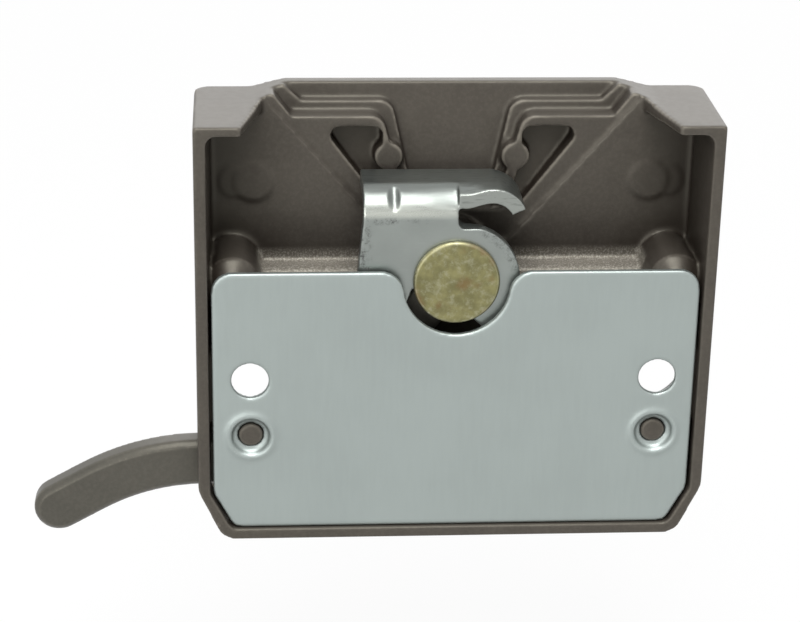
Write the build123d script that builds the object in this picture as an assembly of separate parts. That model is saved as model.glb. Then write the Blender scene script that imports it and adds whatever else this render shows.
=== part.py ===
from build123d import *
import os
from math import asin, atan2, cos, degrees, hypot, radians, sin, sqrt

# Casement sash lock, seen from its mounting side as X right and Z up.
# Y runs from the mounting plane (Y = 0) into the lock, towards its front face.
# Origin: midway between the two screw holes, on the mounting plane. Millimetres.

# Mounting holes
screw_spacing = 60.325
screw_hole_r = 2.75

# Housing outline on the mounting plane
width = 76.0
top_z = 39.1
bottom_z = -25.9
chamfer_start_z = -17.9
chamfer_run = 3.7
lower_corner_r = 3.0
side_wall = 1.8
top_wall = 1.35
bottom_wall = 1.7
inner_corner_r = 1.6
core_draft = 2.0

# Front wall: depth of its outer face at the top, at middle_z and at the bottom
depth_top = 20.85
depth_middle = 15.4
depth_bottom = 11.9
middle_z = 7.2
front_edge_r = 2.4
front_wall = 2.6

# Open top between the two shoulders
shoulder_w = 6.5
shoulder_splay = 3.5
lip_rise = 1.18
lip_rise_run = 5.0
lip_blend_in = 8.2
lip_wall = 2.3

# Pivot
pivot_z = 14.9
rivet_head_r = 6.35
rivet_head_t = 0.9
head_edge = 0.3
shank_r = 3.97
tenon_r = 2.6
running_gap = 0.05
axial_gap = 0.1
boss_r = 6.0
front_skin = 1.6

# Back plate
plate_recess = 0.45
plate_t = 1.1
plate_gap = 0.5
plate_bottom_gap = 0.2
plate_top_z = 16.9
plate_corner_r = 3.0
notch_gap = 1.45
notch_corner_r = 3.5
dimple_spacing = 60.2
dimple_z = -8.95
dimple_r = 2.9
dimple_depth = 0.75
dimple_ramp = 0.33
post_tip_r = 1.8

# Hook arm
arm_gap = 0.75
arm_t = 2.2
arm_left_x = -13.7
arm_foot_x = -15.1
flange_top_z = 28.7
bend_r = 4.5
flange_reach = 12.6
mouth_x = 0.15
mouth_r = 1.6
round_x = 0.9
round_z = 14.8
round_r = 8.5
ring_r = 6.2
hook_start_x = 5.1
hook_r = 5.4
hook_turn = 64.0
hook_back_y = 3.0
leg_r = 3.7
gusset_x = -9.2
gusset_r = 0.9
gusset_depth = 0.55
neck_top_x = -6.0
neck_x = -7.4
neck_z = 10.85
leg_rise = 9.0
fork_x = 2.2
fork_z = 9.25
fork_far_x = 6.0
fork_far_z = 5.75

# Lever
lever_t = 4.4
lever_half = 3.7
lever_hub_r = 6.3
lever_knee_x = -26.0
lever_exit_z = -15.2
lever_bend_x = -46.5
lever_tip_x = -59.2
lever_tip_z = -22.7
knee_bend_r = 8.0
grip_bend_r = 34.0
lever_edge = 0.8
lug_reach = 20.0
lug_r = 2.1
lever_travel = 40.0

# Friction washer between the lever and the housing
washer_t = 0.4
washer_r = 5.8

# Clearances round moving pieces
slot_gap = 0.3
floor_gap = 0.6

# Inner floors of the housing, as depths from the mounting plane
upper_floor_y = flange_reach + floor_gap
frame_step = 1.4
frame_rise = 0.9
ledge_z = 13.7
ledge_rib = 3.0
ledge_r = 1.1
hollow_inset = 1.0
pocket_skin = 2.2

# Ribs and pockets over the pivot
diag_in = 10.4
diag_low_x = 8.6
diag_low_z = 17.0
diag_step = 0.5
frame_top_z = 37.9
frame_side_in = 5.3
frame_in_x = 10.4
frame_foot_x = 6.4
frame_foot_z = 27.0
frame_low_z = 22.0
frame_land = 1.5
frame_corner_r = 2.4
pocket_top_z = 34.8
pocket_out_in = 2.9
pocket_in_x = 10.3
pocket_low_x = 10.1
pocket_rib = 2.0
pocket_low_z = 22.5
pocket_top_skin = 3.0
pocket_corner_r = 1.4
pad_x = 9.4
pad_z = 30.1
pad_r = 2.1
mark_in = 8.6
mark_z = 26.6
mark_r = 2.9
mark_step = 2.7
mark_side_r = 2.4
mark_h = 0.25

# Screw cups and plate rests
cup_floor = 1.0
cup_hole_r = 3.3
cup_r = 4.5
cup_flare = 0.163
cup_lean = 12.0
cup_drop = 1.6
cup_outer_r = 7.6
post_r = 2.3
rest_in = 5.4
rest_z = 14.2
rest_r = 4.1
rest_chamfer = 2.0

# Worked-out places
half_width = width / 2
chamfer_end_x = half_width - chamfer_run
shoulder_x = half_width - shoulder_w
shoulder_x_deep = shoulder_x - shoulder_splay
lip_blend_x = half_width - lip_blend_in
lip_rise_x = lip_blend_x - lip_rise_run
diag_top_x = half_width - diag_in
frame_side_x = diag_top_x - frame_side_in
pocket_out_x = frame_side_x - pocket_out_in
mark_x = half_width - mark_in
mark_side_x = mark_x + mark_step
rest_x = half_width - rest_in
plate_front = plate_recess + plate_t
arm_back = plate_front + arm_gap
arm_front = arm_back + arm_t
lever_back = arm_front
lever_front = lever_back + lever_t
lower_floor_y = lever_front + washer_t + axial_gap
frame_y = upper_floor_y + diag_step
lip_z = top_z + lip_rise

# How far cutting forms pass the piece, and how far joined forms of one piece overlap
through = 60.0
margin = 8.0
over = 1.0
overlap = 0.1


def face_xz(wire, y=0.0):
    """Face from a closed outline drawn as (x, z), at depth y."""
    return Plane.XZ.offset(-y) * make_face(wire)


def push(face, depth, taper=0.0):
    """Extrude a face towards the front by depth, narrowing by taper degrees."""
    return extrude(face, amount=depth, dir=(0, 1, 0), taper=taper)


def outline(points, radii):
    """Closed polygon in (x, z) with each corner rounded by its own radius (0 keeps it sharp)."""
    shape = make_face(Polyline(*points, close=True))
    for point, radius in zip(points, radii):
        if radius:
            corner = shape.vertices().sort_by_distance(Vector(*point))[0]
            shape = fillet(corner, radius)
    return shape.wire()


def disc(x, z, radius, y0, y1):
    """Round column along Y between two depths."""
    circle = Plane.XZ.offset(-y0) * Pos(x, z) * Circle(radius)
    return push(circle, y1 - y0)


def leaning_cone(x, y0, r0, y1):
    """Column from depth y0 to y1 that starts at a screw, widens and drops by cup_lean degrees."""
    lean = radians(cup_lean)
    axis = Vector(0, cos(lean), -sin(lean))
    start = Vector(x, y0, 0) - axis * over
    length = (y1 - y0) / cos(lean) + 2 * over
    stand = Plane(origin=start + axis * (length / 2), x_dir=(1, 0, 0), z_dir=axis)
    column = stand * Cone(r0 - cup_flare * over, r0 + cup_flare * (length - over), length)
    between = push(face_xz(Rectangle(width, through).wire(), y0), y1 - y0)
    return column & (Pos(x, 0, 0) * between)


def chamfer_inset(wall_x, wall_z):
    """Corners of the housing outline moved in by a side wall and a bottom wall."""
    dx = half_width - chamfer_end_x
    dz = chamfer_start_z - bottom_z
    slope = dx / dz
    run = hypot(dx, dz)
    # the slanted stretch moves in square to itself by the side wall
    shift = wall_x * run / dz
    start_x = half_width - wall_x
    start_z = chamfer_start_z - (shift - wall_x) / slope
    end_z = bottom_z + wall_z
    end_x = half_width - shift - (chamfer_start_z - end_z) * slope
    return start_x, start_z, end_x, end_z


def housing_outline():
    """Outer outline of the housing, as seen from the mounting side."""
    right = [
        (chamfer_end_x, bottom_z),
        (half_width, chamfer_start_z),
        (half_width, top_z),
        (lip_blend_x, top_z),
        (lip_rise_x, lip_z),
    ]
    radii = [lower_corner_r, lower_corner_r, 0, lower_corner_r, lower_corner_r]
    left = [(-x, z) for x, z in reversed(right)]
    return outline(right + left, radii + radii[::-1])


def cavity_outline(clear=0.0, floor_clear=0.0, high_z=None):
    """Inner outline of the rim, moved in by a clearance; high_z ends it lower than the top wall."""
    start_x, start_z, end_x, end_z = chamfer_inset(side_wall + clear, bottom_wall + floor_clear)
    upper_z = top_z - top_wall - clear if high_z is None else high_z
    right = [(end_x, end_z), (start_x, start_z), (start_x, upper_z)]
    left = [(-x, z) for x, z in reversed(right)]
    return right + left


def front_depth(z):
    """Depth of the front surface at a height, on a parabola that follows its long arc."""
    low, mid, high = bottom_z, middle_z, lip_z
    at_low = depth_bottom * (z - mid) * (z - high) / ((low - mid) * (low - high))
    at_mid = depth_middle * (z - low) * (z - high) / ((mid - low) * (mid - high))
    at_high = depth_top * (z - low) * (z - mid) / ((high - low) * (high - mid))
    return at_low + at_mid + at_high


def front_form():
    """Everything behind the front surface: a side profile with one long arc, carried across the width."""
    low = (front_depth(bottom_z - over), bottom_z - over)
    high = (front_depth(lip_z + over), lip_z + over)
    arc = ThreePointArc(low, (depth_middle, middle_z), high)
    back = Polyline(high, (-over, lip_z + over), (-over, bottom_z - over), low)
    profile = Plane.YZ.offset(-half_width - over) * make_face([arc, back])
    return extrude(profile, amount=width + 2 * over, dir=(1, 0, 0))


def plan_wedge(near_x, far_x, y0, y1, z0, z1):
    """Block between two heights whose half width runs from near_x to far_x with depth."""
    points = [(-near_x, y0), (near_x, y0), (far_x, y1), (-far_x, y1)]
    base = Plane.XY.offset(z0) * make_face(Polyline(*points, close=True))
    return extrude(base, amount=z1 - z0, dir=(0, 0, 1))


def sloped_cut(points, low, high, radii=None):
    """Cut from the back down to a floor that leans from low (z, depth) to high (z, depth)."""
    wire = outline(points, radii or [0] * len(points))
    prism = push(face_xz(wire, -over), through)
    slope = (high[1] - low[1]) / (high[0] - low[0])
    z_low, z_high = bottom_z, lip_z + margin
    y_low = low[1] + (z_low - low[0]) * slope
    y_high = low[1] + (z_high - low[0]) * slope
    side = [(-2 * over, z_low), (y_low, z_low), (y_high, z_high), (-2 * over, z_high)]
    lean = Plane.YZ.offset(-half_width) * make_face(Polyline(*side, close=True))
    return prism & extrude(lean, amount=width, dir=(1, 0, 0))


def mirrored_points(right):
    """A right-hand outline joined to its mirror image."""
    return right + [(-x, z) for x, z in reversed(right)]


def lever_slot():
    """Wedge round the pivot that the lever sweeps, out through the side, corner and bottom walls."""
    upper = degrees(atan2(lever_exit_z + lever_half + slot_gap - pivot_z, -half_width)) % 360
    knee = hypot(lever_knee_x, lever_exit_z - pivot_z)
    wall_r = pivot_z - bottom_z
    inner_side = degrees(atan2(lever_exit_z - pivot_z, lever_knee_x)) % 360
    spread = degrees(asin((lever_half + slot_gap) / min(knee, wall_r)))
    lower = inner_side + spread + lever_travel
    reach = through + half_width
    rays = [(0, pivot_z)]
    steps = 6
    for i in range(steps + 1):
        turn = radians(upper + (lower - upper) * i / steps)
        rays.append((reach * cos(turn), pivot_z + reach * sin(turn)))
    sweep_face = face_xz(Polyline(*rays, close=True), lever_back - slot_gap)
    return push(sweep_face, lower_floor_y - lever_back + slot_gap)


def screw_cup(x):
    """Outer form of the cup that holds a screw head below the front face."""
    return disc(x, -cup_drop, cup_outer_r, plate_front, front_depth(-2 * cup_r) - overlap)


def screw_recess(x):
    """Recess that a screw is driven through from the front."""
    return leaning_cone(x, plate_front + cup_floor, cup_r, depth_top)


def make_housing():
    """Die-cast housing: rim, shoulders, stepped floors, ribs, pockets, cups, posts and pivot boss."""
    bore_end = front_depth(pivot_z) - front_skin
    form = push(face_xz(housing_outline()), through) & front_form()
    front_edges = [
        edge for edge in form.edges()
        if edge.bounding_box().min.Y > depth_bottom / 2 and edge.center().Z < top_z - front_edge_r
    ]
    body = fillet(front_edges, front_edge_r)

    # hollow from the back: shallow floor low down, deeper floor over the ledge
    corner_r = [inner_corner_r] * 6
    full = outline(cavity_outline(), corner_r)
    body -= push(face_xz(full, 0), lower_floor_y, core_draft) + lever_slot()
    # behind the lever the floor leans with the front, below a rib that carries the ledge
    leaning = cavity_outline(hollow_inset, hollow_inset, ledge_z - ledge_rib)
    lean_low = (bottom_z, depth_bottom - front_wall)
    lean_high = (ledge_z, front_depth(ledge_z) - front_wall)
    body -= sloped_cut(leaning, lean_low, lean_high)

    upper = [(half_width - side_wall, ledge_z), (half_width - side_wall, top_z - top_wall)]
    upper_wire = outline(mirrored_points(upper), [0, inner_corner_r, inner_corner_r, 0])
    body -= push(face_xz(upper_wire, 0), upper_floor_y, core_draft)

    ledge_edges = [
        edge for edge in body.edges()
        if edge.length > half_width and abs(edge.center().Y - lower_floor_y) < overlap
        and ledge_z <= edge.center().Z < ledge_z + over
    ]
    body = fillet(ledge_edges, ledge_r)

    # open top between the shoulders, back to the front wall
    mid_top = mirrored_points([(diag_low_x, diag_low_z), (diag_top_x, top_z), (diag_top_x, lip_z + over)])
    lip_floor = depth_top - lip_wall
    body -= plan_wedge(shoulder_x, shoulder_x_deep, -over, upper_floor_y, top_z - top_wall - over, lip_z + over)
    body -= push(face_xz(Polyline(*mid_top, close=True), -over), frame_y + over)

    # sloping middle between the two triangular frames, in two steps
    for land, extra in ((frame_land, frame_step), (0.0, 2 * frame_step)):
        slope_low = (frame_foot_z, frame_y + extra)
        slope_high = (lip_z, lip_floor - (2 * frame_step - extra) * frame_rise)
        middle = mirrored_points([
            (frame_foot_x + land, frame_low_z),
            (frame_foot_x + land, frame_foot_z),
            (frame_in_x - frame_land + land, frame_top_z - land),
            (frame_side_x + land, frame_top_z - land),
            (diag_top_x - frame_land + land, lip_z + over),
        ])
        rounds = [0, 0, frame_corner_r, 0, 0]
        body -= sloped_cut(middle, slope_low, slope_high, rounds + rounds[::-1])

    # triangular pockets, open at the foot beside the pivot boss
    pocket = [
        (pocket_in_x, pocket_top_z),
        (pocket_out_x, pocket_top_z),
        (pocket_low_x, pocket_low_z),
        (frame_foot_x + pocket_rib, pocket_low_z),
        (pad_x + pad_r / 2, pad_z),
    ]
    pocket_low = (diag_low_z, front_depth(diag_low_z) - pocket_skin)
    pocket_high = (top_z, depth_top - pocket_top_skin)
    pocket_rounds = [pocket_corner_r, pocket_corner_r, 0, 0, 0]
    cut = sloped_cut(pocket, pocket_low, pocket_high, pocket_rounds)
    body -= cut
    body -= mirror(cut, Plane.YZ)
    for x in (-pad_x, pad_x):
        body += disc(x, pad_z, pad_r, frame_y, front_depth(pad_z) - pocket_skin / 2)

    # pivot boss, screw cups, plate rests and posts
    body += disc(0, pivot_z, boss_r, lower_floor_y, bore_end + front_skin / 2)
    for side in (-1, 1):
        x = side * screw_spacing / 2
        body += screw_cup(x) & form
        post_x = side * dimple_spacing / 2
        body -= disc(post_x, dimple_z, dimple_r + plate_gap, plate_front, plate_front + dimple_depth)
        post_end = front_depth(dimple_z) - front_wall / 2
        body += disc(post_x, dimple_z, post_r, plate_front + dimple_depth, post_end)
        body += disc(post_x, dimple_z, post_tip_r, plate_recess + dimple_depth / 2, post_end)
        rest = disc(side * rest_x, rest_z, rest_r, plate_front, upper_floor_y + overlap)
        body += chamfer(rest.edges().sort_by(Axis.Y)[0], rest_chamfer)
        # round marks left by the ejector pins
        body += disc(side * mark_x, mark_z, mark_r, upper_floor_y - mark_h, upper_floor_y + over)
        body += disc(side * mark_side_x, mark_z, mark_side_r, upper_floor_y - mark_h / 2, upper_floor_y + over)
    for side in (-1, 1):
        x = side * screw_spacing / 2
        body -= screw_recess(x)
        body -= disc(x, 0, cup_hole_r, 0, plate_front + cup_floor + over)

    body -= disc(0, pivot_z, tenon_r, 0, bore_end)
    return body


def make_back_plate():
    """Pressed steel plate with a notch for the pivot head, two holes and two pierced dimples."""
    clear = plate_gap
    points = cavity_outline(clear, plate_bottom_gap, plate_top_z)
    radii = [inner_corner_r, inner_corner_r, plate_corner_r]
    sheet_face = make_face(outline(points, radii + radii[::-1]))
    notch_r = rivet_head_r + notch_gap
    sheet_face -= Pos(0, pivot_z) * Circle(notch_r)
    # round the two corners where the notch meets the top edge
    for side in (-1, 1):
        corner = sheet_face.vertices().sort_by_distance(Vector(side * notch_r, plate_top_z))[0]
        sheet_face = fillet(corner, notch_corner_r)
    plate = push(Plane.XZ.offset(-plate_recess) * sheet_face, plate_t)
    for side in (-1, 1):
        plate -= disc(side * screw_spacing / 2, 0, screw_hole_r, 0, plate_front + over)
        plate = press_dimple(plate, side * dimple_spacing / 2)
    return plate


def press_dimple(plate, x):
    """Dish the sheet towards the front round a pierced hole that takes a post."""
    plate -= disc(x, dimple_z, dimple_r, 0, plate_front + over)
    hole_r = post_tip_r + running_gap
    floor_r = dimple_r - dimple_ramp
    section = [
        (dimple_r, plate_recess),
        (floor_r, plate_recess + dimple_depth),
        (hole_r, plate_recess + dimple_depth),
        (hole_r, plate_front + dimple_depth),
        (floor_r, plate_front + dimple_depth),
        (dimple_r, plate_front),
    ]
    half = Plane.XY * make_face(Polyline(*section, close=True))
    dish = revolve(half, Axis.Y)
    return plate + Pos(x, 0, dimple_z) * dish


def lug_place():
    """Where the lever's lug comes through the leg of the hook arm."""
    run = hypot(lever_knee_x, lever_exit_z - pivot_z)
    return lever_knee_x * lug_reach / run, pivot_z + (lever_exit_z - pivot_z) * lug_reach / run


def make_hook_arm():
    """Bent steel arm: flat base with a leg, flange along the top that ends in a hook."""
    lug_x, lug_z = lug_place()
    bend_z = flange_top_z - bend_r
    inner_r = bend_r - arm_t

    # flat base up to the bend line, with its leg down to the lever's lug
    left = [
        (mouth_x, bend_z),
        (arm_left_x, bend_z),
        (arm_foot_x, lug_z + leg_rise),
        (lug_x - leg_r, lug_z),
        (lug_x + leg_r, lug_z),
        (neck_x, neck_z),
        (neck_top_x, pivot_z),
        (mouth_x, pivot_z),
    ]
    base = make_face(Polyline(*left, close=True))
    base += Pos(lug_x, lug_z) * Circle(leg_r)
    base += Pos(0, pivot_z) * Circle(ring_r)
    right = Pos(round_x, round_z) * Circle(round_r)
    low_x = round_x - round_r - over
    low_z = round_z - round_r - over
    right -= make_face(Polyline(
        (low_x, pivot_z), (0, pivot_z), (fork_x, fork_z), (fork_far_x, fork_far_z), (fork_far_x, low_z),
        (low_x, low_z), close=True))
    base += right
    # rounded throat of the mouth, from the end of the bend into the round part
    throat_x = mouth_x + mouth_r
    throat_z = round_z + sqrt((round_r + mouth_r) ** 2 - (throat_x - round_x) ** 2)
    throat = make_face(Polyline(
        (mouth_x - over, pivot_z), (throat_x, pivot_z), (throat_x, bend_z), (mouth_x - over, bend_z), close=True))
    base += throat - Pos(throat_x, throat_z) * Circle(mouth_r)
    sheet = push(Plane.XZ.offset(-arm_back) * base, arm_t)

    # bend and flange behind the base, drawn in the (y, z) plane
    bend_y = arm_back + bend_r
    outer = CenterArc((bend_y, bend_z), bend_r, 90, 90)
    inner = CenterArc((bend_y, bend_z), inner_r, 90, 90)
    ends = [Line(outer @ 1, inner @ 1), Line(outer @ 0, inner @ 0)]
    bend = extrude(Plane.YZ.offset(arm_left_x) * make_face([outer, inner] + ends),
                   amount=mouth_x - arm_left_x, dir=(1, 0, 0))
    strip = [(arm_left_x, flange_top_z - arm_t), (arm_left_x, flange_top_z)]
    flat = push(face_xz(Polyline(
        strip[0], strip[1], (mouth_x, flange_top_z), (mouth_x, flange_top_z - arm_t), close=True), bend_y),
        flange_reach - bend_y)

    # hook: the flange runs on past the mouth and turns down round the keeper
    centre = (hook_start_x, flange_top_z - hook_r)
    outer_arc = CenterArc(centre, hook_r, 90, -hook_turn)
    inner_arc = CenterArc(centre, hook_r - arm_t, 90, -hook_turn)
    hook_face = make_face([
        Line((mouth_x, flange_top_z), outer_arc @ 0), outer_arc, Line(outer_arc @ 1, inner_arc @ 1),
        inner_arc, Line(inner_arc @ 0, (mouth_x, flange_top_z - arm_t)),
        Line((mouth_x, flange_top_z - arm_t), (mouth_x, flange_top_z)),
    ])
    hook = push(Plane.XZ.offset(-hook_back_y) * hook_face, flange_reach - hook_back_y)
    arm = sheet + bend + flat + hook

    # holes for the pivot and the lug, and the stiffening groove across the bend
    arm -= disc(0, pivot_z, shank_r + running_gap, 0, flange_reach)
    arm -= disc(lug_x, lug_z, lug_r + running_gap, 0, flange_reach)
    half_turn = sqrt(0.5)
    out = bend_r - gusset_depth + gusset_r
    groove_at = (gusset_x, bend_y - out * half_turn, bend_z + out * half_turn)
    groove = Plane(origin=groove_at, z_dir=(0, 1, 1)) * Cylinder(gusset_r, 3 * bend_r)
    return arm - groove


def lever_route():
    """Middle line of the lever from the pivot to the middle of its round tip."""
    return FilletPolyline(
        (0, pivot_z), (lever_knee_x, lever_exit_z), (lever_bend_x, lever_exit_z - 0.4), (lever_tip_x, lever_tip_z),
        radius=[knee_bend_r, grip_bend_r])


def make_lever():
    """Die-cast lever: hub, bent arm, curved grip and the lug that drives the hook arm."""
    route = lever_route()
    bar = make_face(offset(route, lever_half, kind=Kind.ARC, side=Side.BOTH))
    bar += Pos(0, pivot_z) * Circle(lever_hub_r)
    lever = push(Plane.XZ.offset(-lever_back) * bar, lever_t)
    grip = [edge for edge in lever.edges() if edge.center().X < lever_knee_x
            and abs(edge.bounding_box().size.Y) < 0.1]
    lever = chamfer(grip, lever_edge)
    lug_x, lug_z = lug_place()
    lever += disc(lug_x, lug_z, lug_r, arm_back + axial_gap, lever_back + over)
    return lever - disc(0, pivot_z, shank_r + running_gap, 0, lever_front + over)


def make_pivot_rivet():
    """Shouldered rivet: flat round head, bearing shank and tenon in the housing's boss."""
    head_front = arm_back - axial_gap
    head = disc(0, pivot_z, rivet_head_r, head_front - rivet_head_t, head_front)
    head = chamfer(head.edges().sort_by(Axis.Y)[0], head_edge)
    shank = disc(0, pivot_z, shank_r, head_front - overlap, lower_floor_y)
    tenon_end = front_depth(pivot_z) - front_skin - axial_gap
    tenon = disc(0, pivot_z, tenon_r, lower_floor_y - overlap, tenon_end)
    return head + shank + tenon


def make_friction_washer():
    """Flat washer round the shank, on the pivot boss."""
    ring = disc(0, pivot_z, washer_r, lower_floor_y - washer_t, lower_floor_y)
    return ring - disc(0, pivot_z, shank_r + running_gap, 0, lower_floor_y + over)


os.makedirs("parts", exist_ok=True)
PARTS = {
    "housing": make_housing,
    "back_plate": make_back_plate,
    "hook_arm": make_hook_arm,
    "lever": make_lever,
    "pivot_rivet": make_pivot_rivet,
    "friction_washer": make_friction_washer,
}
for name, make in PARTS.items():
    solid = make()
    print(name, "solids", len(solid.solids()), "volume", round(solid.volume, 1))
    export_step(solid, f"parts/{name}.step")
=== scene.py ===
import logging
import math
from collections.abc import Callable
from dataclasses import dataclass, field
from enum import Enum
from functools import reduce

import bmesh
import bpy
import numpy as np
from mathutils import Matrix, Vector


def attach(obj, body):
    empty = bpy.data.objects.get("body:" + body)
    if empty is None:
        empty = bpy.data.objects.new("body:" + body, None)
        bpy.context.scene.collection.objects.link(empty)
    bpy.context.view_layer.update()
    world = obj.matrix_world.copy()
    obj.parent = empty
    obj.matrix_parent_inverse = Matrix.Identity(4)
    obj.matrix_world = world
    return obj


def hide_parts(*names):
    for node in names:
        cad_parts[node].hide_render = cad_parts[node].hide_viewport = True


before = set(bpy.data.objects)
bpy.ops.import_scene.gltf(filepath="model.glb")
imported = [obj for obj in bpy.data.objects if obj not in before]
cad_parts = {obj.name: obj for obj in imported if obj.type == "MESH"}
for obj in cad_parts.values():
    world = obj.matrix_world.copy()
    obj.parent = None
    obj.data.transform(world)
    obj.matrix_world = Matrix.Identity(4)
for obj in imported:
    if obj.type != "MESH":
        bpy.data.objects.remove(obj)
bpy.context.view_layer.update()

# Looks of a casement sash lock, in metres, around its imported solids.

MM = 0.001

Colour = tuple[float, float, float]
Span = tuple[float, float]
Socket = bpy.types.NodeSocket
Source = Socket | float | tuple
Shaper = Callable[[np.ndarray], np.ndarray]

log = logging.getLogger("sash_lock")


class Body(Enum):
    """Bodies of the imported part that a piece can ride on."""

    CASE = "case"
    HANDLE = "handle"


class Graph:
    """Adds and links the nodes of one shader tree."""

    def __init__(self, tree: bpy.types.NodeTree) -> None:
        """Take the tree to fill.

        Args:
            tree: Node tree of a material, a world or a group.
        """
        self.tree = tree

    def feed(self, socket: Socket, value: Source) -> None:
        """Link a socket to another or set its constant.

        Args:
            socket: Input to feed.
            value: Output socket, number or colour.
        """
        if isinstance(value, bpy.types.NodeSocket):
            self.tree.links.new(value, socket)
        elif socket.type == "RGBA" and len(value) == 3:
            socket.default_value = (*value, 1.0)
        else:
            socket.default_value = value

    def add(
        self, kind: str, inputs: dict[str | int, Source] | None = None, **settings: object
    ) -> bpy.types.Node:
        """Add one node.

        Args:
            kind: Blender's name of the node type.
            inputs: Inputs to feed, by name or place.
            **settings: Properties of the node.

        Returns:
            The node.
        """
        node = self.tree.nodes.new(kind)
        for key, value in settings.items():
            setattr(node, key, value)
        for key, value in (inputs or {}).items():
            self.feed(node.inputs[key], value)
        return node

    def math(self, operation: str, a: Source, b: Source = 0.0, clamp: bool = False) -> Socket:
        """Arithmetic on two values.

        Args:
            operation: Name of the operation.
            a: First value.
            b: Second value.
            clamp: Keep the result between 0 and 1.

        Returns:
            The result's socket.
        """
        return self.add("ShaderNodeMath", {0: a, 1: b}, operation=operation, use_clamp=clamp).outputs[0]

    def times(self, *values: Source) -> Socket:
        """Product of several values."""
        return reduce(lambda a, b: self.math("MULTIPLY", a, b), values)

    def most(self, *values: Source) -> Socket:
        """Largest of several values."""
        return reduce(lambda a, b: self.math("MAXIMUM", a, b), values)

    def away(self, value: Source, centre: float) -> Socket:
        """Distance of a value from a centre."""
        return self.math("ABSOLUTE", self.math("SUBTRACT", value, centre))

    def axes(self, vector: Source) -> tuple[Socket, Socket, Socket]:
        """Parts of a vector along X, Y and Z."""
        parts = self.add("ShaderNodeSeparateXYZ", {"Vector": vector}).outputs
        return parts["X"], parts["Y"], parts["Z"]

    def span(
        self, value: Source, low: float, high: float, to_low: float = 0.0, to_high: float = 1.0
    ) -> Socket:
        """Smooth step of a value from one range to another.

        Args:
            value: Value to map.
            low: Value that gives to_low.
            high: Value that gives to_high.
            to_low: Result at low and below.
            to_high: Result at high and above.

        Returns:
            The result's socket.
        """
        return self.step(value, low, high, **{"To Min": to_low, "To Max": to_high})

    def step(self, value: Source, low: Source, high: Source, **ends: float) -> Socket:
        """Smooth step whose limits can be sockets.

        Args:
            value: Value to map.
            low: Value that gives the lower end.
            high: Value that gives the upper end.
            **ends: The two ends, 0 and 1 if left out.

        Returns:
            The result's socket.
        """
        inputs = {"Value": value, "From Min": low, "From Max": high, **ends}
        return self.add("ShaderNodeMapRange", inputs, interpolation_type="SMOOTHSTEP").outputs["Result"]

    def blend(self, factor: Source, a: Source, b: Source) -> Socket:
        """Mix two colours.

        Args:
            factor: Share of the second colour.
            a: First colour.
            b: Second colour.

        Returns:
            The result's socket.
        """
        node = self.add("ShaderNodeMix", data_type="RGBA", blend_type="MIX")
        self.feed(node.inputs[0], factor)
        self.feed(node.inputs[6], a)
        self.feed(node.inputs[7], b)
        return node.outputs[2]

    def coats(self, base: Source, *layers: tuple[Source, Source]) -> Socket:
        """Lay colours over a base, one after another.

        Args:
            base: Colour below.
            *layers: Each layer's share and colour, the lowest first.

        Returns:
            The result's socket.
        """
        return reduce(lambda below, layer: self.blend(layer[0], below, layer[1]), layers, base)

    def noise(self, vector: Source, per_mm: float, detail: float = 3.0, rough: float = 0.55) -> Socket:
        """Cloud noise over a surface.

        Args:
            vector: Place on the piece, in metres.
            per_mm: Features per millimetre.
            detail: Octaves.
            rough: Share of the finer octaves.

        Returns:
            The noise value's socket.
        """
        return self.cloud(vector, per_mm / MM, detail, rough)

    def cloud(self, vector: Source, scale: Source, detail: float, rough: float) -> Socket:
        """Cloud noise whose scale can be a socket.

        Args:
            vector: Place on the piece, in metres.
            scale: Features per metre.
            detail: Octaves.
            rough: Share of the finer octaves.

        Returns:
            The noise value's socket.
        """
        inputs = {"Vector": vector, "Scale": scale, "Detail": detail, "Roughness": rough}
        return self.add("ShaderNodeTexNoise", inputs).outputs["Fac"]

    def place(self, scale: Colour = (1.0, 1.0, 1.0), shift: Colour = (0.0, 0.0, 0.0)) -> Socket:
        """Place on the piece, stretched and shifted for a pattern.

        Args:
            scale: Stretch along each axis.
            shift: Shift along each axis, in metres.

        Returns:
            The vector's socket.
        """
        coordinates = self.add("ShaderNodeTexCoord").outputs["Object"]
        inputs = {"Vector": coordinates, "Scale": scale, "Location": shift}
        return self.add("ShaderNodeMapping", inputs).outputs["Vector"]

    def use(self, group: bpy.types.NodeTree, **inputs: Source) -> bpy.types.bpy_prop_collection:
        """Place a shared effect in this tree.

        Args:
            group: Node group of the effect.
            **inputs: Its inputs, with underscores for spaces.

        Returns:
            The outputs of the group's node.
        """
        named = {key.replace("_", " "): value for key, value in inputs.items()}
        return self.add("ShaderNodeGroup", named, node_tree=group).outputs

    def emboss(
        self, shader: bpy.types.Node, height: Source, normal: Source, depth: float, strength: float
    ) -> None:
        """Give a shader a fine relief.

        Args:
            shader: Shader whose normal it changes.
            height: Height over the surface, about 0 to 1.
            normal: Normal before the relief.
            depth: Depth that a height of 1 stands for, in metres.
            strength: Share of the relief that shows.
        """
        inputs = {"Strength": strength, "Distance": depth, "Height": height, "Normal": normal}
        self.feed(shader.inputs["Normal"], self.add("ShaderNodeBump", inputs).outputs["Normal"])


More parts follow.
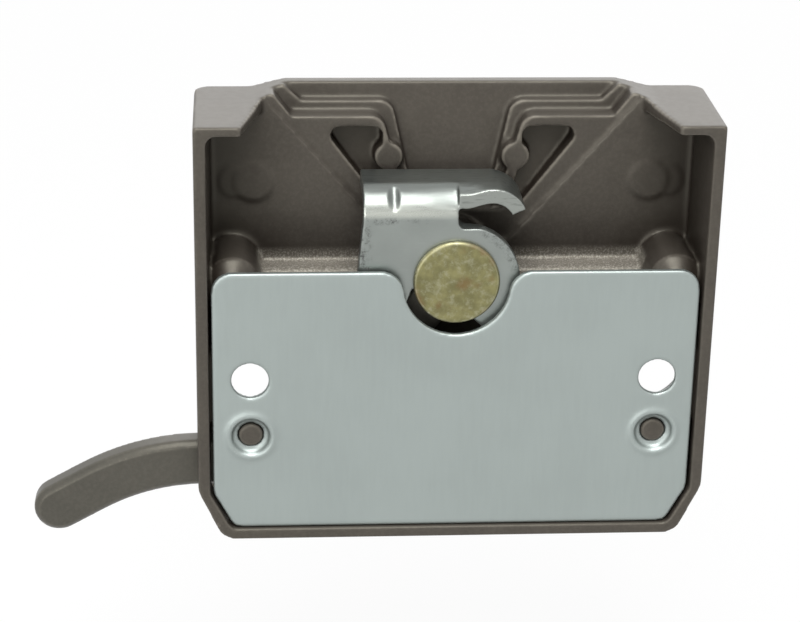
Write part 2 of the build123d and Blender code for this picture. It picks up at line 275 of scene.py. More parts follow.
class Effects:
    """Effects that several finishes share, each a node group with named inputs and outputs."""

    ray_samples: int = 6
    ridge_bend: Span = (0.512, 0.545)
    crease_bend: Span = (0.494, 0.465)
    speck_limit: float = 0.78
    speck_fade: float = 0.07

    def __init__(self) -> None:
        """Build every group once."""
        self.grain = self._grain()
        self.edges = self._edges()
        self.corner_shade = self._corner_shade()
        self.specks = self._specks()

    @staticmethod
    def _start(
        name: str, inputs: dict[str, float | None], outputs: dict[str, str]
    ) -> tuple[Graph, bpy.types.bpy_prop_collection, bpy.types.bpy_prop_collection]:
        """Open a group and make its sockets.

        Args:
            name: Name of the effect.
            inputs: Each input with its default, or None for a vector.
            outputs: Each output with its socket type, Float or Vector.

        Returns:
            The group's graph, the sockets that come in and those that go out.
        """
        tree = bpy.data.node_groups.new(name, "ShaderNodeTree")
        for key, value in inputs.items():
            kind = "NodeSocketVector" if value is None else "NodeSocketFloat"
            socket = tree.interface.new_socket(name=key, in_out="INPUT", socket_type=kind)
            if value is not None:
                socket.default_value = value
        for key, kind in outputs.items():
            tree.interface.new_socket(name=key, in_out="OUTPUT", socket_type=f"NodeSocket{kind}")
        graph = Graph(tree)
        return graph, graph.add("NodeGroupInput").outputs, graph.add("NodeGroupOutput").inputs

    def _grain(self) -> bpy.types.NodeTree:
        """Fine relief of a cast or plated surface: coarse clouds plus fine grain.

        Returns:
            Group with Height and Tone, both about 0 to 1.
        """
        graph, given, result = self._start(
            "surface_grain", {"Vector": None, "Coarse": 1.0, "Fine": 5.0, "Share": 0.5},
            {"Height": "Float", "Tone": "Float"})
        coarse, fine = (
            graph.cloud(given["Vector"], graph.math("MULTIPLY", given[name], 1.0 / MM), detail, 0.6)
            for name, detail in (("Coarse", 2.0), ("Fine", 4.0)))
        lumps = graph.times(coarse, graph.math("SUBTRACT", 1.0, given["Share"]))
        graph.feed(result["Height"], graph.math("ADD", lumps, graph.times(fine, given["Share"])))
        graph.feed(result["Tone"], graph.span(coarse, 0.3, 0.7))
        return graph.tree

    def _edges(self) -> bpy.types.NodeTree:
        """Rounded shading along edges, with masks of them.

        Returns:
            Group with the rounded Normal, an Edge mask, and masks of ridges and creases.
        """
        graph, given, result = self._start(
            "rounded_edges", {"Radius": 0.4 * MM, "Low": 0.02, "High": 0.25},
            {"Normal": "Vector", "Edge": "Float", "Ridge": "Float", "Crease": "Float"})
        bevel = graph.add(
            "ShaderNodeBevel", {"Radius": given["Radius"]}, samples=self.ray_samples).outputs["Normal"]
        surface = graph.add("ShaderNodeNewGeometry").outputs
        both = {0: bevel, 1: surface["True Normal"]}
        same = graph.add("ShaderNodeVectorMath", both, operation="DOT_PRODUCT").outputs["Value"]
        turn = graph.math("SUBTRACT", 1.0, same)
        graph.feed(result["Normal"], bevel)
        graph.feed(result["Edge"], graph.step(turn, given["Low"], given["High"]))
        graph.feed(result["Ridge"], graph.span(surface["Pointiness"], *self.ridge_bend))
        graph.feed(result["Crease"], graph.span(surface["Pointiness"], *self.crease_bend))
        return graph.tree

    def _corner_shade(self) -> bpy.types.NodeTree:
        """Painted shade that gathers in corners, broken up by noise.

        Returns:
            Group with a Mask, 1 far into a corner.
        """
        graph, given, result = self._start(
            "painted_corner_shade",
            {"Vector": None, "Distance": 4.0 * MM, "Low": 0.35, "High": 0.95, "Breakup": 0.25},
            {"Mask": "Float"})
        open_share = graph.add(
            "ShaderNodeAmbientOcclusion", {"Distance": given["Distance"]},
            samples=self.ray_samples, only_local=True).outputs["AO"]
        cloud = graph.noise(given["Vector"], 0.6, 4.0)
        shift = graph.times(graph.math("SUBTRACT", cloud, 0.5), given["Breakup"])
        uneven = graph.math("ADD", open_share, shift)
        graph.feed(result["Mask"], graph.step(uneven, given["High"], given["Low"]))
        return graph.tree

    def _specks(self) -> bpy.types.NodeTree:
        """Scattered specks of uneven size.

        Returns:
            Group with a Mask, 1 on a speck.
        """
        graph, given, result = self._start(
            "scattered_specks", {"Vector": None, "Per mm": 1.5, "Share": 0.1}, {"Mask": "Float"})
        fine = graph.cloud(given["Vector"], graph.math("MULTIPLY", given["Per mm"], 1.0 / MM), 5.0, 0.7)
        limit = graph.math("SUBTRACT", self.speck_limit, given["Share"])
        graph.feed(result["Mask"], graph.step(fine, limit, graph.math("ADD", limit, self.speck_fade)))
        return graph.tree


def shade(colour: Colour, factor: float) -> Colour:
    """Colour times a factor."""
    return tuple(part * factor for part in colour)


def new_material(name: str) -> tuple[bpy.types.Material, Graph, bpy.types.Node]:
    """Start a material.

    Args:
        name: Name of the finish.

    Returns:
        The material, its graph and its Principled shader.
    """
    material = bpy.data.materials.new(name)
    material.use_nodes = True
    graph = Graph(material.node_tree)
    shader = material.node_tree.nodes["Principled BSDF"]
    return material, graph, shader


@dataclass(frozen=True)
class CastPaint:
    """Satin bronze paint on a die casting, thin and with a painted highlight on its ridges, with
    painted shade in corners and creases, painted light on upward faces, and rough with a painted
    highlight and glints along the inner ledge.

    Each range of the ledge runs from where it is smooth to where it is rough.
    """

    name: str
    colour: Colour = (0.046, 0.040, 0.034)
    # Colour of painted shade in corners and creases.
    painted_shade: Colour = (0.017, 0.013, 0.010)
    # Colour of thin paint, random tone and painted highlights.
    wear_and_highlight: Colour = (0.190, 0.172, 0.143)
    # Colour of painted glints on the ledge.
    sparkle_colour: Colour = (0.430, 0.410, 0.360)
    sheen: Colour = (1.0, 0.95, 0.80)
    gloss: float = 0.42
    roughness: Span = (0.350, 0.375)
    edge_radius: float = 0.45 * MM
    corner_reach: float = 16.0 * MM
    relief: float = 0.003 * MM
    relief_strength: float = 0.35
    grain_share: float = 0.4
    lump_relief: float = 0.18 * MM
    level: Span = (0.78, 0.95)
    cloud_share: float = 0.05
    mottle_share: Span = (0.08, 0.01)
    inside: Span = (1.0 * MM, 5.0 * MM)
    # Share of thin paint and painted highlight on ridges, at the rim and further in.
    ridge_wear_and_highlight_share: Span = (0.25, 0.55)
    # Share of painted shade in creases.
    crease_shade_share: float = 0.55
    # Share of painted light on upward faces.
    upward_light_share: float = 0.12
    # Shares of painted highlight and painted glints on the ledge.
    ledge_highlight_share: float = 0.65
    sparkle_share: float = 0.60
    ledge_z: float = 13.9 * MM
    ledge_half: Span = (2.6 * MM, 1.2 * MM)
    ledge_near: Span = (8.3 * MM, 8.8 * MM)
    ledge_far: Span = (13.5 * MM, 12.9 * MM)
    ledge_side: Span = (36.3 * MM, 35.8 * MM)

    def build(self, effects: Effects) -> bpy.types.Material:
        """Make the material.

        Args:
            effects: Shared node groups.

        Returns:
            The material.
        """
        material, graph, shader = new_material(self.name)
        place = graph.place()
        depth = graph.axes(place)[1]
        upward = graph.axes(graph.add("ShaderNodeNewGeometry").outputs["Normal"])[2]
        grain = graph.use(effects.grain, Vector=place, Coarse=0.9, Fine=3.2, Share=0.45)
        edges = graph.use(effects.edges, Radius=self.edge_radius, Low=0.02, High=0.25)
        # Painted shade across the cavity and in its corners.
        corner_shade = graph.use(
            effects.corner_shade, Vector=place, Distance=self.corner_reach, Low=0.42, High=0.97, Breakup=0.22)
        cloud = graph.span(graph.noise(place, 0.12, 3.0), 0.35, 0.65)
        mottle = graph.span(graph.noise(place, 1.6, 4.0, 0.65), 0.38, 0.68)
        ridge = graph.most(edges["Edge"], edges["Ridge"])
        ledge = self._ledge(graph, place)
        sparkle = graph.span(graph.noise(place, 3.4, 4.0, 0.7), 0.46, 0.62)
        base = graph.coats(
            self.colour,
            (graph.times(cloud, self.cloud_share), self.wear_and_highlight),
            (graph.times(mottle, graph.span(upward, *self.level, *self.mottle_share)), self.wear_and_highlight),
            # Painted shade in corners.
            (corner_shade["Mask"], self.painted_shade),
            # Painted shade in creases.
            (graph.times(edges["Crease"], self.crease_shade_share), self.painted_shade),
            # Thin paint and a painted highlight on the inner ridges.
            (graph.times(ridge, graph.span(depth, *self.inside, *self.ridge_wear_and_highlight_share)), self.wear_and_highlight),
            # Painted light on upward faces.
            (graph.times(graph.span(upward, *self.level), self.upward_light_share), self.wear_and_highlight),
            # Painted highlight and painted glints along the rough ledge.
            (graph.times(ledge, self.ledge_highlight_share), self.wear_and_highlight),
            (graph.times(ledge, sparkle, self.sparkle_share), self.sparkle_colour),
        )
        graph.feed(shader.inputs["Base Color"], base)
        graph.feed(shader.inputs["Roughness"], graph.span(grain["Tone"], 0.0, 1.0, *self.roughness))
        lumps = graph.times(graph.noise(place, 1.3, 3.0, 0.6), ledge, self.lump_relief / self.relief)
        height = graph.math("ADD", graph.times(grain["Height"], self.grain_share), lumps)
        graph.emboss(shader, height, edges["Normal"], self.relief, self.relief_strength)
        shader.inputs["Metallic"].default_value = 0.0
        shader.inputs["Specular IOR Level"].default_value = self.gloss
        shader.inputs["Specular Tint"].default_value = (*self.sheen, 1.0)
        return material

    def _ledge(self, graph: Graph, place: Socket) -> Socket:
        """Mask of the inner ledge, where the casting is rough because the cores met there, and where a
        painted highlight and glints lie.

        Args:
            graph: Graph of the material.
            place: Place on the piece.

        Returns:
            The mask's socket.
        """
        x, y, z = graph.axes(place)
        return graph.times(
            graph.span(graph.away(z, self.ledge_z), *self.ledge_half),
            graph.span(y, *self.ledge_near),
            graph.span(y, *self.ledge_far),
            graph.span(graph.away(x, 0.0), *self.ledge_side),
        )


@dataclass(frozen=True)
class GalvanisedSheet:
    """Matt galvanised steel sheet with faint rolling lines and a bright sheared edge."""

    name: str
    colour: Colour = (0.348, 0.390, 0.375)
    pale: Colour = (0.64, 0.68, 0.65)
    uneven: float = 0.025
    roughness: Span = (0.44, 0.48)
    metallic: float = 0.85
    edge_radius: float = 0.25 * MM
    edge_share: float = 0.7
    relief: float = 0.008 * MM
    relief_strength: float = 0.25

    def build(self, effects: Effects) -> bpy.types.Material:
        """Make the material.

        Args:
            effects: Shared node groups.

        Returns:
            The material.
        """
        material, graph, shader = new_material(self.name)
        place = graph.place()
        lines = graph.noise(graph.place(scale=(1.0, 1.0, 0.12)), 1.6, 3.0)
        cloud = graph.noise(place, 0.07, 4.0)
        edges = graph.use(effects.edges, Radius=self.edge_radius, Low=0.02, High=0.25)
        grain = graph.use(effects.grain, Vector=place, Coarse=0.6, Fine=4.0, Share=0.6)
        tone = graph.math("ADD", graph.times(lines, 0.35), graph.times(cloud, 0.65))
        base = graph.blend(
            graph.span(tone, 0.35, 0.65), shade(self.colour, 1.0 - self.uneven),
            shade(self.colour, 1.0 + self.uneven))
        base = graph.blend(graph.times(edges["Edge"], self.edge_share), base, self.pale)
        graph.feed(shader.inputs["Base Color"], base)
        graph.feed(shader.inputs["Roughness"], graph.span(cloud, 0.3, 0.7, *self.roughness))
        graph.emboss(shader, grain["Height"], edges["Normal"], self.relief, self.relief_strength)
        shader.inputs["Metallic"].default_value = self.metallic
        return material


@dataclass(frozen=True)
class BrightZinc:
    """Bright zinc plating on bent sheet: smoother with a painted highlight on the bend, painted shade
    on the flange and hook, soiled at its edges.

    Each range of soil or flange runs from where there is none to where there is most.
    """

    name: str
    colour: Colour = (0.300, 0.325, 0.306)
    pale: Colour = (0.52, 0.54, 0.50)
    bright: Colour = (0.66, 0.68, 0.61)
    grime: Colour = (0.030, 0.029, 0.027)
    roughness: Span = (0.29, 0.42)
    polish: float = 0.72
    metallic: Span = (0.9, 0.1)
    cloud_shade: float = 0.9
    # Darker copy of the colour for painted shade.
    flange_shade_factor: float = 0.55
    line_share: float = 0.12
    bend_highlight_share: float = 0.9
    flange_shade_share: float = 0.80
    hook_shade_share: float = 0.5
    scratch_share: float = 0.32
    edge_share: float = 0.45
    soil_share: float = 0.9
    soil_rough: float = 0.4
    edge_radius: float = 0.3 * MM
    relief: float = 0.01 * MM
    relief_strength: float = 0.3
    bend_z: float = 24.2 * MM
    round_x: float = 0.9 * MM
    round_z: float = 14.8 * MM
    round_r: float = 8.5 * MM
    hook_x: float = 0.3 * MM
    flange_y: Span = (1.9 * MM, 3.8 * MM)
    level_y: Span = (4.5 * MM, 7.0 * MM)
    bend_half: Span = (0.75 * MM, 0.1 * MM)
    bend_x: Span = (-3.0 * MM, -9.0 * MM)
    left_side: Span = (-12.0 * MM, -13.4 * MM)
    right_x: Span = (2.0 * MM, 5.0 * MM)

    def build(self, effects: Effects) -> bpy.types.Material:
        """Make the material.

        Args:
            effects: Shared node groups.

        Returns:
            The material.
        """
        material, graph, shader = new_material(self.name)
        place = graph.place()
        x, y, z = graph.axes(place)
        lines = graph.noise(graph.place(scale=(0.12, 1.0, 1.0)), 2.6, 3.0)
        cloud = graph.noise(place, 0.16, 4.0)
        edges = graph.use(effects.edges, Radius=self.edge_radius, Low=0.02, High=0.25)
        grain = graph.use(effects.grain, Vector=place, Coarse=0.7, Fine=3.5, Share=0.5)
        reach = self._reach(graph, x, z)
        soil = self._soil(graph, effects, place, reach)
        flange = graph.span(y, *self.flange_y)
        hook = graph.times(
            graph.span(x, self.hook_x, self.hook_x + 0.5 * MM),
            graph.span(reach, self.round_r + 0.4 * MM, self.round_r + 0.9 * MM))
        # Smoother on the bend, and lighter there as a painted highlight.
        polish_and_highlight = graph.times(
            graph.span(z, self.bend_z, self.bend_z + 1.2 * MM), graph.math("SUBTRACT", 1.0, flange))
        # Painted shade on the flange, and at half strength on the hook.
        flange_shade = graph.most(flange, graph.times(hook, self.hook_shade_share))
        scratches = graph.times(
            graph.most(graph.span(y, *self.level_y), hook), graph.span(lines, 0.55, 0.68))
        edge = graph.times(edges["Edge"], graph.span(graph.away(x, self.hook_x), 0.3 * MM, 1.2 * MM))
        base = graph.coats(
            graph.blend(graph.span(cloud, 0.3, 0.7), shade(self.colour, self.cloud_shade), self.colour),
            (graph.times(graph.span(lines, 0.55, 0.8), self.line_share), self.pale),
            # Painted highlight on the bend.
            (graph.times(polish_and_highlight, self.bend_highlight_share), self.bright),
            # Painted shade on the flange and hook.
            (graph.times(flange_shade, self.flange_shade_share), shade(self.colour, self.flange_shade_factor)),
            (graph.times(scratches, self.scratch_share), self.grime),
            (graph.times(edge, self.edge_share), self.pale),
            (graph.times(soil, self.soil_share), self.grime),
        )
        graph.feed(shader.inputs["Base Color"], base)
        rough = graph.span(graph.math("ADD", lines, graph.times(cloud, 0.6)), 0.5, 1.1, *self.roughness)
        rough = graph.times(rough, graph.span(polish_and_highlight, 0.0, 1.0, 1.0, self.polish))
        rough = graph.math("ADD", rough, graph.times(soil, self.soil_rough), clamp=True)
        graph.feed(shader.inputs["Roughness"], rough)
        graph.emboss(shader, grain["Height"], edges["Normal"], self.relief, self.relief_strength)
        graph.feed(shader.inputs["Metallic"], graph.span(soil, 0.0, 1.0, *self.metallic))
        return material

    def _reach(self, graph: Graph, x: Socket, z: Socket) -> Socket:
        """Distance from the centre of the arm's round part, in its plane.

        Args:
            graph: Graph of the material.
            x: Place along X.
            z: Place along Z.

        Returns:
            The distance's socket.
        """
        parts = {
            "X": graph.math("SUBTRACT", x, self.round_x),
            "Z": graph.math("SUBTRACT", z, self.round_z),
        }
        offset = graph.add("ShaderNodeCombineXYZ", parts).outputs[0]
        return graph.add("ShaderNodeVectorMath", {0: offset}, operation="LENGTH").outputs["Value"]

    def _soil(self, graph: Graph, effects: Effects, place: Socket, reach: Socket) -> Socket:
        """Mask of the soil along the bend, down the left edge and round the far edge.

        Args:
            graph: Graph of the material.
            effects: Shared node groups.
            place: Place on the piece.
            reach: Distance from the centre of the round part.

        Returns:
            The mask's socket.
        """
        x, _, z = graph.axes(place)
        along_bend = graph.times(
            graph.span(graph.away(z, self.bend_z), *self.bend_half), graph.span(x, *self.bend_x))
        down_left = graph.times(
            graph.span(x, *self.left_side),
            graph.span(z, self.bend_z + 1.0 * MM, self.bend_z))
        round_edge = graph.times(
            graph.span(reach, self.round_r - 1.6 * MM, self.round_r - 0.5 * MM),
            graph.span(x, *self.right_x),
            graph.span(z, self.bend_z, self.bend_z - 1.0 * MM))
        specks = graph.use(effects.specks, Vector=place, Per_mm=4.6, Share=0.31)
        smudge = graph.span(graph.noise(place, 0.9, 3.0, 0.6), 0.42, 0.72)
        dots = graph.times(specks["Mask"], smudge, 0.9)
        spread = graph.math("ADD", dots, graph.times(smudge, 0.30))
        return graph.math("MULTIPLY", graph.most(along_bend, down_left, round_edge), spread, clamp=True)


@dataclass(frozen=True)
class YellowZinc:
    """Yellow zinc plating, weathered into olive, brown and pale patches, with a painted highlight round
    its edge.
    """

    name: str
    colour: Colour = (0.262, 0.246, 0.112)
    brown: Colour = (0.20, 0.130, 0.055)
    pale: Colour = (0.36, 0.355, 0.235)
    rim_highlight: Colour = (0.60, 0.58, 0.42)
    patch_shade: float = 0.66
    spot_share: float = 0.6
    stain_share: float = 0.75
    rim_highlight_share: float = 0.85
    roughness: Span = (0.30, 0.48)
    metallic: float = 0.8
    edge_radius: float = 0.3 * MM
    relief: float = 0.015 * MM
    relief_strength: float = 0.4

    def build(self, effects: Effects) -> bpy.types.Material:
        """Make the material.

        Args:
            effects: Shared node groups.

        Returns:
            The material.
        """
        material, graph, shader = new_material(self.name)
        place = graph.place()
        patches = graph.noise(place, 0.35, 5.0, 0.65)
        spots = graph.noise(graph.place(shift=(0.0, 0.0, 0.05)), 0.9, 5.0, 0.7)
        stains = graph.noise(graph.place(shift=(0.03, 0.0, 0.0)), 0.28, 3.0, 0.5)
        edges = graph.use(effects.edges, Radius=self.edge_radius, Low=0.02, High=0.22)
        grain = graph.use(effects.grain, Vector=place, Coarse=0.8, Fine=3.0, Share=0.5)
        base = graph.coats(
            graph.blend(
                graph.span(patches, 0.35, 0.65), shade(self.colour, self.patch_shade), self.colour),
            (graph.times(graph.span(spots, 0.46, 0.70), self.spot_share), self.pale),
            (graph.times(graph.span(stains, 0.54, 0.70), self.stain_share), self.brown),
            # Painted highlight round the edge and along ridges.
            (graph.times(graph.most(edges["Edge"], edges["Ridge"]), self.rim_highlight_share), self.rim_highlight),
        )
        graph.feed(shader.inputs["Base Color"], base)
        graph.feed(shader.inputs["Roughness"], graph.span(patches, 0.3, 0.7, *self.roughness))
        graph.emboss(shader, grain["Height"], edges["Normal"], self.relief, self.relief_strength)
        shader.inputs["Metallic"].default_value = self.metallic
        return material


@dataclass(frozen=True)
class MouldedWasher:
    """Natural acetal, slightly soiled."""

    name: str
    colour: Colour = (0.72, 0.70, 0.64)
    soiled: float = 0.85
    roughness: Span = (0.40, 0.55)

    def build(self, effects: Effects) -> bpy.types.Material:
        """Make the material.

        Args:
            effects: Shared node groups.

        Returns:
            The material.
        """
        material, graph, shader = new_material(self.name)
        tone = graph.use(effects.grain, Vector=graph.place(), Coarse=0.8, Fine=3.0, Share=0.5)["Tone"]
        base = graph.blend(tone, self.colour, shade(self.colour, self.soiled))
        graph.feed(shader.inputs["Base Color"], base)
        graph.feed(shader.inputs["Roughness"], graph.span(tone, 0.0, 1.0, *self.roughness))
        return material


@dataclass(frozen=True)
class Softening:
    """How far a solid's edges are rounded off in its finished copy."""

    voxel: float
    passes: int
    keep: float = 1.0
    factor: float = 0.5
    weld: float = 1e-7

    def apply(self, node: str, body: Body, shape: Shaper | None = None) -> bpy.types.Object:
        """Make the finished copy of a solid, which stands in for it.

        Args:
            node: Name of the solid.
            body: Body that carries it.
            shape: Change to the copy's vertices, in metres.

        Returns:
            The finished piece.
        """
        piece = bpy.data.objects.new(f"{node}_finished", self._merged(node))
        bpy.context.scene.collection.objects.link(piece)
        made = self._worn(piece)
        piece.modifiers.clear()
        piece.data = made
        made.name = piece.name
        if shape is not None:
            flat = np.empty(len(made.vertices) * 3, dtype=np.float32)
            made.vertices.foreach_get("co", flat)
            points = shape(flat.reshape(-1, 3).astype(float))
            made.vertices.foreach_set("co", points.astype(np.float32).ravel())
            made.update()
        made.polygons.foreach_set("use_smooth", np.ones(len(made.polygons), dtype=bool))
        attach(piece, body.value)
        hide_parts(node)
        log.info("%s: %d triangles", piece.name, len(made.loops) - 2 * len(made.polygons))
        return piece

    def _merged(self, node: str) -> bpy.types.Mesh:
        """Copy a solid's mesh with its faces joined into one skin.

        Args:
            node: Name of the solid.

        Returns:
            The copy.
        """
        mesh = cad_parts[node].data.copy()
        skin = bmesh.new()
        skin.from_mesh(mesh)
        bmesh.ops.remove_doubles(skin, verts=skin.verts, dist=self.weld)
        skin.to_mesh(mesh)
        skin.free()
        return mesh

    def _worn(self, piece: bpy.types.Object) -> bpy.types.Mesh:
        """Rebuild a piece's skin in small even faces and smooth it.

        Args:
            piece: The piece.

        Returns:
            The new mesh.
        """
        remesh = piece.modifiers.new("voxels", "REMESH")
        remesh.mode = "VOXEL"
        remesh.voxel_size = self.voxel
        smooth = piece.modifiers.new("wear", "SMOOTH")
        smooth.factor = self.factor
        smooth.iterations = self.passes
        if self.keep < 1.0:
            piece.modifiers.new("thinner", "DECIMATE").ratio = self.keep
        bpy.context.view_layer.update()
        shown = piece.evaluated_get(bpy.context.evaluated_depsgraph_get())
        return bpy.data.meshes.new_from_object(shown)


def wear(piece: bpy.types.Object, material: bpy.types.Material) -> None:
    """Give a finished piece its only material.

    Args:
        piece: The piece.
        material: Its finish.
    """
    piece.data.materials.clear()
    piece.data.materials.append(material)


def ramp(values: np.ndarray, low: float, high: float) -> np.ndarray:
    """Smooth step of an array.

    Args:
        values: Values to map.
        low: Value that gives 0.
        high: Value that gives 1.

    Returns:
        Numbers from 0 to 1.
    """
    share = np.clip((values - low) / (high - low), 0.0, 1.0)
    return share * share * (3.0 - 2.0 * share)


@dataclass
class Housing:
    """Die-cast housing."""

    node: str = "housing"
    soft: Softening = Softening(0.30 * MM, 7, 0.35)
    finish: CastPaint = field(default_factory=lambda: CastPaint("bronze_paint_housing"))

    def dress(self, effects: Effects) -> None:
        """Make the finished housing."""
        wear(self.soft.apply(self.node, Body.CASE), self.finish.build(effects))


@dataclass
class Handle:
    """Lever and hook arm, which turn as one."""

    lever: str = "lever"
    arm: str = "hook_arm"
    lever_soft: Softening = Softening(0.30 * MM, 4)
    arm_soft: Softening = Softening(0.20 * MM, 4)
    sag: float = 0.8 * MM
    sag_left: Span = (-5.85 * MM, 1.15 * MM)
    sag_right: Span = (5.0 * MM, 1.15 * MM)
    sag_y: Span = (3.0 * MM, 6.8 * MM)
    sag_z: Span = (22.5 * MM, 24.0 * MM)
    paint: CastPaint = field(default_factory=lambda: CastPaint(
        "bronze_paint_lever", colour=(0.050, 0.048, 0.041), edge_radius=0.3 * MM))
    plating: BrightZinc = field(default_factory=lambda: BrightZinc("bright_zinc"))

    def dress(self, effects: Effects) -> None:
        """Make the finished lever and arm."""
        lever = self.lever_soft.apply(self.lever, Body.HANDLE)
        wear(lever, self.paint.build(effects))
        arm = self.arm_soft.apply(self.arm, Body.HANDLE, self._settle_hook)
        wear(arm, self.plating.build(effects))

    def _settle_hook(self, points: np.ndarray) -> np.ndarray:
        """Let the near edge of the hook follow the bend where it leaves the mouth.

        A vertex sinks by sag times a smooth step from the left, one from the right and one from
        below, times the square of how near it is to the mounting side.

        Args:
            points: Vertices of the arm.

        Returns:
            Moved vertices.
        """
        x, y, z = points.T
        near_y, far_y = self.sag_y
        near = np.clip((far_y - y) / (far_y - near_y), 0.0, 1.0) ** 2
        share = near * ramp(x, *self.sag_left) * ramp(x, *self.sag_right) * ramp(z, *self.sag_z)
        points[:, 2] -= self.sag * share
        return points


@dataclass
class BackPlate:
    """Pressed back plate."""

    node: str = "back_plate"
    soft: Softening = Softening(0.30 * MM, 3, 0.6)
    dimple_x: float = 30.1 * MM
    dimple_z: float = -8.95 * MM
    crest_r: float = 3.35 * MM
    crest_width: float = 0.50 * MM
    crest: float = 0.36 * MM
    finish: GalvanisedSheet = field(default_factory=lambda: GalvanisedSheet("galvanised"))

    def dress(self, effects: Effects) -> None:
        """Make the finished plate."""
        plate = self.soft.apply(self.node, Body.CASE, self._raise_rings)
        wear(plate, self.finish.build(effects))

    def _raise_rings(self, points: np.ndarray) -> np.ndarray:
        """Raise the soft ring that the press leaves round each dish.

        The ring is a bell curve over the distance from the dish's centre.

        Args:
            points: Vertices of the plate.

        Returns:
            Moved vertices.
        """
        x, _, z = points.T
        reach = np.hypot(np.abs(x) - self.dimple_x, z - self.dimple_z)
        points[:, 1] -= self.crest * np.exp(-(((reach - self.crest_r) / self.crest_width) ** 2))
        return points


@dataclass
class Pivot:
    """Pivot rivet and friction washer."""

    rivet: str = "pivot_rivet"
    washer: str = "friction_washer"
    soft: Softening = Softening(0.16 * MM, 4)
    plating: YellowZinc = field(default_factory=lambda: YellowZinc("yellow_zinc"))
    plastic: MouldedWasher = field(default_factory=lambda: MouldedWasher("washer"))

    def dress(self, effects: Effects) -> None:
        """Make the finished rivet and give the washer its finish."""
        wear(self.soft.apply(self.rivet, Body.CASE), self.plating.build(effects))
        carry_over(self.washer, self.plastic.build(effects))


def carry_over(node: str, material: bpy.types.Material) -> None:
    """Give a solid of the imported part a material.

    Args:
        node: Name of the solid.
        material: Its finish.
    """
    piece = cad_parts[node]
    for slot in piece.material_slots:
        slot.material = material
    log.info("%s wears %s", node, material.name)


@dataclass(frozen=True)
class Camera:
    """Camera at the photograph's place, in millimetres, degrees and pixels."""

    target: tuple[float, float, float] = (-8.334, 0.0, 11.180)
    azimuth: float = -4.237
    elevation: float = 22.485
    roll: float = 1.107
    distance: float = 336.24
    focal_px: float = 2313.25
    image_width: float = 800.0
    sensor: float = 36.0

    def build(self) -> bpy.types.Object:
        """Make the camera.

        Returns:
            The camera object.
        """
        az, el, roll = (math.radians(v) for v in (self.azimuth, self.elevation, self.roll))
        back = Vector((math.sin(az) * math.cos(el), -math.cos(az) * math.cos(el), math.sin(el)))
        level = Vector((math.cos(az), math.sin(az), 0.0))
        upright = back.cross(level)
        right = math.cos(roll) * level + math.sin(roll) * upright
        up = math.cos(roll) * upright - math.sin(roll) * level
        eye = (Vector(self.target) + back * self.distance) * MM
        data = bpy.data.cameras.new("camera")
        data.sensor_fit = "HORIZONTAL"
        data.sensor_width = self.sensor
        data.lens = self.focal_px * self.sensor / self.image_width
        data.clip_start = 0.01
        data.clip_end = 20.0
        camera = bpy.data.objects.new("camera", data)
        camera.matrix_world = Matrix((
            (right.x, up.x, back.x, eye.x),
            (right.y, up.y, back.y, eye.y),
            (right.z, up.z, back.z, eye.z),
            (0.0, 0.0, 0.0, 1.0),
        ))
        bpy.context.scene.collection.objects.link(camera)
        bpy.context.scene.camera = camera
        return camera


@dataclass(frozen=True)
class SoftLamp:
    """Square soft lamp."""

    name: str
    place: tuple[float, float, float]
    aim: tuple[float, float, float]
    size: float
    power: float

    def build(self) -> bpy.types.Object:
        """Make the lamp.

        Returns:
            The lamp object.
        """
        data = bpy.data.lights.new(self.name, "AREA")
        data.size = self.size
        data.energy = self.power
        lamp = bpy.data.objects.new(self.name, data)
        lamp.location = self.place
        towards = Vector(self.aim) - Vector(self.place)
        lamp.rotation_euler = towards.to_track_quat("-Z", "Y").to_euler()
        bpy.context.scene.collection.objects.link(lamp)
        return lamp


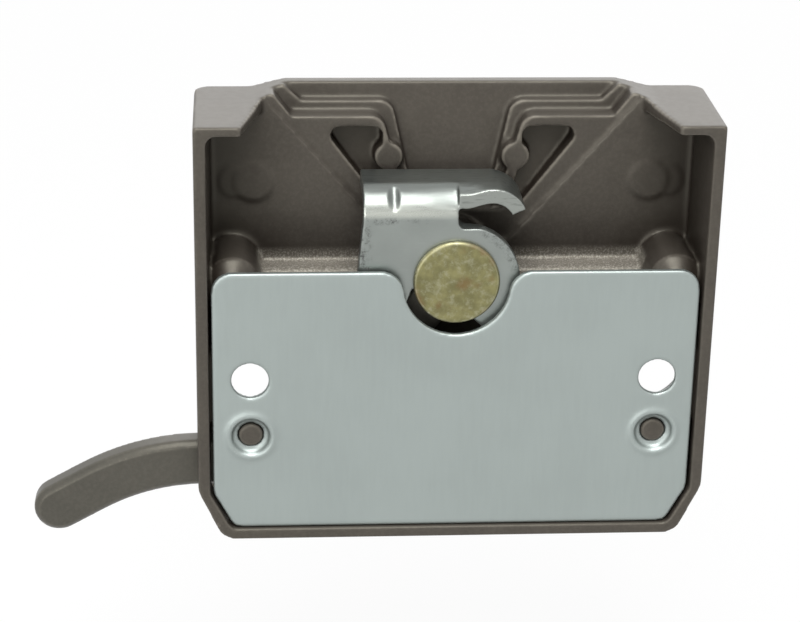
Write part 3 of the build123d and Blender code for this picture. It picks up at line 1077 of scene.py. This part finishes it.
@dataclass
class Studio:
    """Pale floor, white surroundings, soft lamps and the camera."""

    floor_z: float = -0.0600
    floor_half: float = 3.0
    floor_colour: Colour = (0.86, 0.86, 0.86)
    floor_roughness: float = 0.9
    ambient: float = 0.46
    floor_glow: float = 0.93
    lamps: tuple[SoftLamp, ...] = (
        SoftLamp("top_lamp", (-0.04, -0.30, 0.66), (0.0, 0.0, 0.0), 0.45, 5.4),
        SoftLamp("front_lamp", (-0.42, -0.60, 0.18), (0.0, 0.0, 0.0), 0.50, 1.7),
        SoftLamp("back_lamp", (0.10, 0.80, 0.42), (0.0, 0.0, 0.0), 0.70, 1.6),
    )

    @staticmethod
    def _seen(graph: Graph) -> Socket:
        """Value that is 1 for rays from the camera, a mirror or a lens."""
        rays = graph.add("ShaderNodeLightPath")
        kinds = ("Camera", "Glossy", "Transmission")
        return graph.most(*(rays.outputs[f"Is {kind} Ray"] for kind in kinds))

    def build(self) -> None:
        """Make the surroundings."""
        self._world()
        self._floor()
        for lamp in self.lamps:
            lamp.build()
        Camera().build()
        bpy.context.scene.view_settings.view_transform = "Standard"

    def _world(self) -> None:
        """White to the camera and to mirrors, softer as a light."""
        world = bpy.data.worlds.new("surroundings")
        bpy.context.scene.world = world
        world.use_nodes = True
        world.node_tree.nodes.clear()
        graph = Graph(world.node_tree)
        light = graph.add("ShaderNodeBackground", {"Color": (1.0, 1.0, 1.0), "Strength": self.ambient})
        white = graph.add("ShaderNodeBackground", {"Color": (1.0, 1.0, 1.0), "Strength": 1.0})
        mixed = graph.add(
            "ShaderNodeMixShader", {0: self._seen(graph), 1: light.outputs[0], 2: white.outputs[0]})
        graph.add("ShaderNodeOutputWorld", {"Surface": mixed.outputs[0]})

    def _floor(self) -> None:
        """Large pale floor that keeps a soft shadow."""
        material, graph, shader = new_material("pale_floor")
        shader.inputs["Base Color"].default_value = (*self.floor_colour, 1.0)
        shader.inputs["Roughness"].default_value = self.floor_roughness
        glow = graph.add("ShaderNodeEmission", {"Color": (1.0, 1.0, 1.0), "Strength": 1.0})
        share = graph.times(self._seen(graph), self.floor_glow)
        mixed = graph.add("ShaderNodeMixShader", {0: share, 1: shader.outputs[0], 2: glow.outputs[0]})
        graph.feed(material.node_tree.nodes["Material Output"].inputs["Surface"], mixed.outputs[0])
        half, z = self.floor_half, self.floor_z
        mesh = bpy.data.meshes.new("floor")
        corners = [(-half, -half, z), (half, -half, z), (half, half, z), (-half, half, z)]
        mesh.from_pydata(corners, [], [(0, 1, 2, 3)])
        mesh.materials.append(material)
        floor = bpy.data.objects.new("floor", mesh)
        bpy.context.scene.collection.objects.link(floor)


def main() -> None:
    """Build the surroundings and dress every sub-assembly."""
    logging.basicConfig(level=logging.INFO)
    Studio().build()
    effects = Effects()
    for assembly in (Housing(), BackPlate(), Handle(), Pivot()):
        assembly.dress(effects)


if __name__ == "__main__":
    main()
